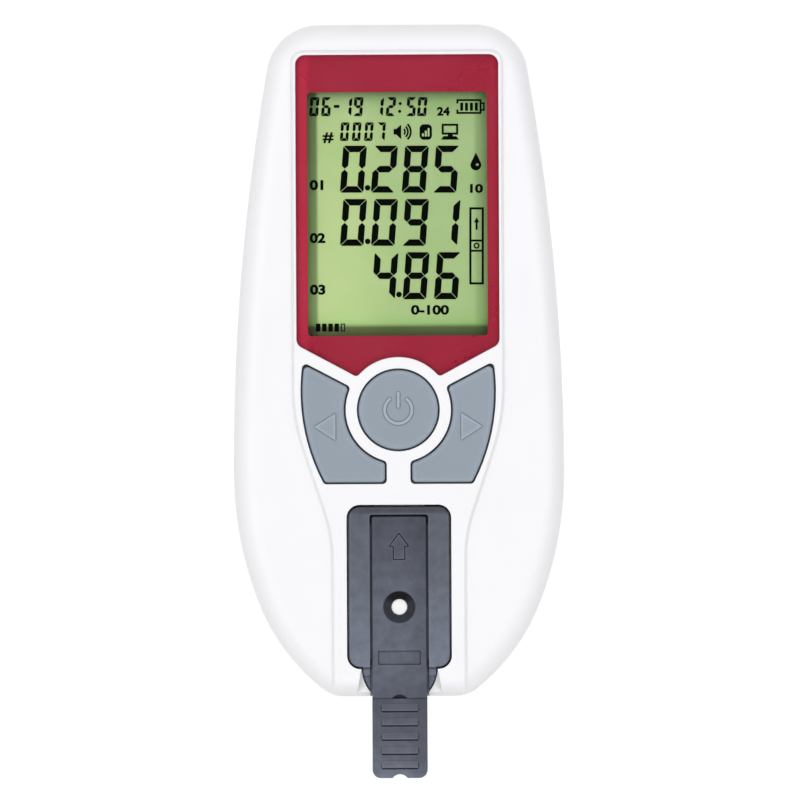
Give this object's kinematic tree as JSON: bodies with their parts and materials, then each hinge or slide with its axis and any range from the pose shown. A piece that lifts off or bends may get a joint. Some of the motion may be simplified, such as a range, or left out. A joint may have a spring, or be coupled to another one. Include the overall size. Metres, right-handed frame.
{
  "type": "renal function analyzer",
  "caption": "Hand-held strip meter with a red-framed segment display, three keys, a tilting strip holder and a test strip that slides out.",
  "frame": {"origin": "on the table under the middle of the overall plan, strip included, with the meter on its back", "axes": "+Z out of the screen, +Y from the strip's handle to the top of the screen, +X to the reader's right"},
  "size_m": [0.0674, 0.1536, 0.0266],
  "materials": {
    "case_white": "glossy white moulded plastic",
    "clear_lens": "clear polished plastic",
    "bezel_red": "red print behind a clear lens",
    "display": "green display glass with dark segments",
    "light_guide": "milky light guide",
    "frame_dark": "dark moulded plastic",
    "key_grey": "satin grey moulded plastic",
    "holder_grey": "dark grey moulded plastic",
    "strip_grey": "dark grey moulded plastic",
    "membrane": "white membrane",
    "switch_black": "black moulded plastic",
    "board_green": "green solder resist",
    "chip_black": "black moulding compound",
    "metal_can": "tinned steel",
    "clear_window": "clear glass",
    "emitter": "clear resin",
    "cell_wrap": "printed cell wrap",
    "spring_steel": "plated spring wire",
    "contact_plate": "plated sheet",
    "foot_rubber": "soft rubber",
    "screw_steel": "zinc plated steel"
  },
  "bodies": {
    "housing": {"amplifier_chips": "chip_black", "battery_1": "cell_wrap", "battery_2": "cell_wrap", "battery_3": "cell_wrap", "battery_4": "cell_wrap", "battery_spring_1": "spring_steel", "battery_spring_2": "spring_steel", "battery_spring_3": "spring_steel", "battery_spring_4": "spring_steel", "bezel_print": "bezel_red", "board_screws": "screw_steel", "buzzer": "switch_black", "case_screws": "screw_steel", "data_port_shell": "metal_can", "data_port_tongue": "switch_black", "display_backlight": "light_guide", "display_connectors": "foot_rubber", "display_frame": "frame_dark", "display_glass": "display", "display_lens": "clear_lens", "key_switches": "switch_black", "lower_contacts": "contact_plate", "lower_shell": "case_white", "main_board": "board_green", "optic_housing": "frame_dark", "optic_leds": "emitter", "optic_window": "clear_window", "photodiode": "chip_black", "processor": "chip_black", "radio_module": "metal_can", "rubber_feet": "foot_rubber", "upper_contacts": "contact_plate", "upper_shell": "case_white"},
    "power_button": {"power_key": "key_grey", "power_plunger": "switch_black"},
    "left_button": {"left_key": "key_grey", "left_plunger": "switch_black"},
    "right_button": {"right_key": "key_grey", "right_plunger": "switch_black"},
    "holder": {"strip_holder": "holder_grey"},
    "test_strip": {"strip_cover": "strip_grey", "strip_base": "strip_grey", "reaction_pad": "membrane"},
    "door": {"battery_door": "case_white"}
  },
  "joints": [
    {"name": "power_press", "type": "slide", "parent": "housing", "child": "power_button", "axis": [0, 0, -1], "range_m": [0, 0.0005], "stiffness_N_per_m": 400, "springref_m": -0.0005},
    {"name": "left_press", "type": "slide", "parent": "housing", "child": "left_button", "axis": [0, 0, -1], "range_m": [0, 0.0005], "stiffness_N_per_m": 400, "springref_m": -0.0005},
    {"name": "right_press", "type": "slide", "parent": "housing", "child": "right_button", "axis": [0, 0, -1], "range_m": [0, 0.0005], "stiffness_N_per_m": 400, "springref_m": -0.0005},
    {"name": "holder_tilt", "type": "hinge", "parent": "housing", "child": "holder", "pos_m": [0, -0.0211, 0.0256], "axis": [-1, 0, 0], "range_deg": [0, 35]},
    {"name": "strip_slide", "type": "slide", "parent": "holder", "child": "test_strip", "axis": [0, -1, 0], "range_m": [0, 0.036]},
    {"name": "door_swing", "type": "hinge", "parent": "housing", "child": "door", "pos_m": [0, 0.0064, 0.0008], "axis": [-1, 0, 0], "range_deg": [0, 60]}
  ]
}
